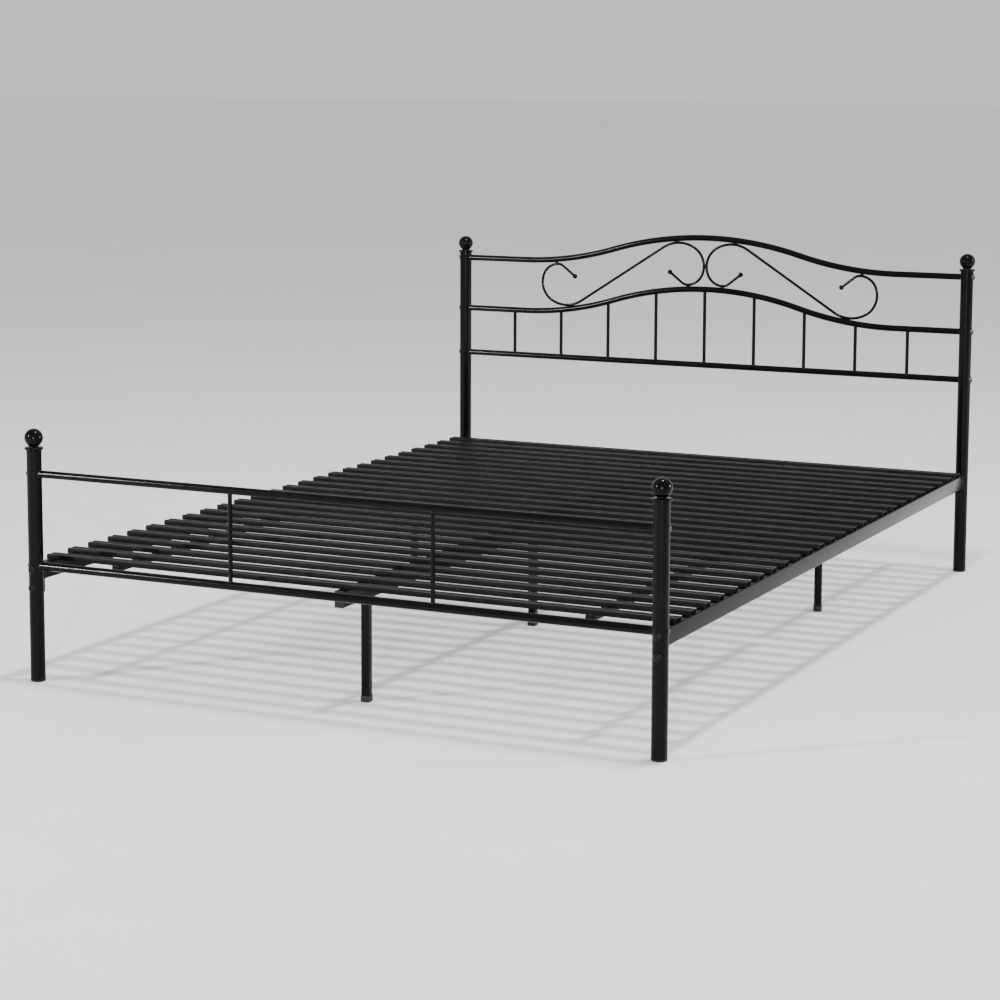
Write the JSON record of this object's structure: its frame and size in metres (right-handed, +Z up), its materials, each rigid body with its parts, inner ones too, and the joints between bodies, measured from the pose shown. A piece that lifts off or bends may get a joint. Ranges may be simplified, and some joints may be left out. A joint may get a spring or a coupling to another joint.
{
  "type": "metal bed frame",
  "caption": "Black tubular metal bed frame with an arched headboard with rod scrolls and spindles, ball finials, a low footboard and a slatted base on legs.",
  "frame": {"origin": "on the floor under the middle of the bed frame's bounding box", "axes": "+X to the right of the bed seen from its foot end, +Y from the footboard towards the headboard, +Z up"},
  "size_m": [1.46, 2.1056, 0.845],
  "materials": {
    "black_paint": "glossy black powder coat",
    "black_plastic": "fine moulded grain",
    "bolt_black": "black zinc",
    "bolt_zinc": "dark zinc"
  },
  "bodies": {
    "root": {"centre_beam": "black_paint", "centre_leg_foot": "black_paint", "centre_leg_head": "black_paint", "centre_leg_middle": "black_paint", "cross_bolt_foot_left_1": "bolt_zinc", "cross_bolt_foot_left_2": "bolt_zinc", "cross_bolt_foot_right_1": "bolt_zinc", "cross_bolt_foot_right_2": "bolt_zinc", "cross_bolt_head_left_1": "bolt_zinc", "cross_bolt_head_left_2": "bolt_zinc", "cross_bolt_head_left_3": "bolt_zinc", "cross_bolt_head_right_1": "bolt_zinc", "cross_bolt_head_right_2": "bolt_zinc", "cross_bolt_head_right_3": "bolt_zinc", "finial_foot_left": "black_paint", "finial_foot_right": "black_paint", "finial_head_left": "black_paint", "finial_head_right": "black_paint", "foot_cap_foot_left": "black_plastic", "foot_cap_foot_right": "black_plastic", "foot_cap_head_left": "black_plastic", "foot_cap_head_right": "black_plastic", "foot_rail_low": "black_paint", "foot_rail_top": "black_paint", "foot_spindle_left": "black_paint", "foot_spindle_right": "black_paint", "head_rail_low": "black_paint", "head_rail_mid_arch": "black_paint", "head_rail_top_arch": "black_paint", "head_spindle_1": "black_paint", "head_spindle_2": "black_paint", "head_spindle_3": "black_paint", "head_spindle_4": "black_paint", "head_spindle_5": "black_paint", "head_spindle_6": "black_paint", "head_spindle_7": "black_paint", "head_spindle_8": "black_paint", "head_spindle_9": "black_paint", "post_foot_left": "black_paint", "post_foot_right": "black_paint", "post_head_left": "black_paint", "post_head_right": "black_paint", "scroll_left": "black_paint", "scroll_right": "black_paint", "side_bolt_foot_left_1": "bolt_black", "side_bolt_foot_left_2": "bolt_black", "side_bolt_foot_right_1": "bolt_black", "side_bolt_foot_right_2": "bolt_black", "side_bolt_head_left_1": "bolt_black", "side_bolt_head_left_2": "bolt_black", "side_bolt_head_right_1": "bolt_black", "side_bolt_head_right_2": "bolt_black", "side_leg_left": "black_paint", "side_leg_right": "black_paint", "side_rail_left": "black_paint", "side_rail_right": "black_paint", "slat_panel_foot": "black_paint", "slat_panel_head": "black_paint"}
  },
  "joints": []
}
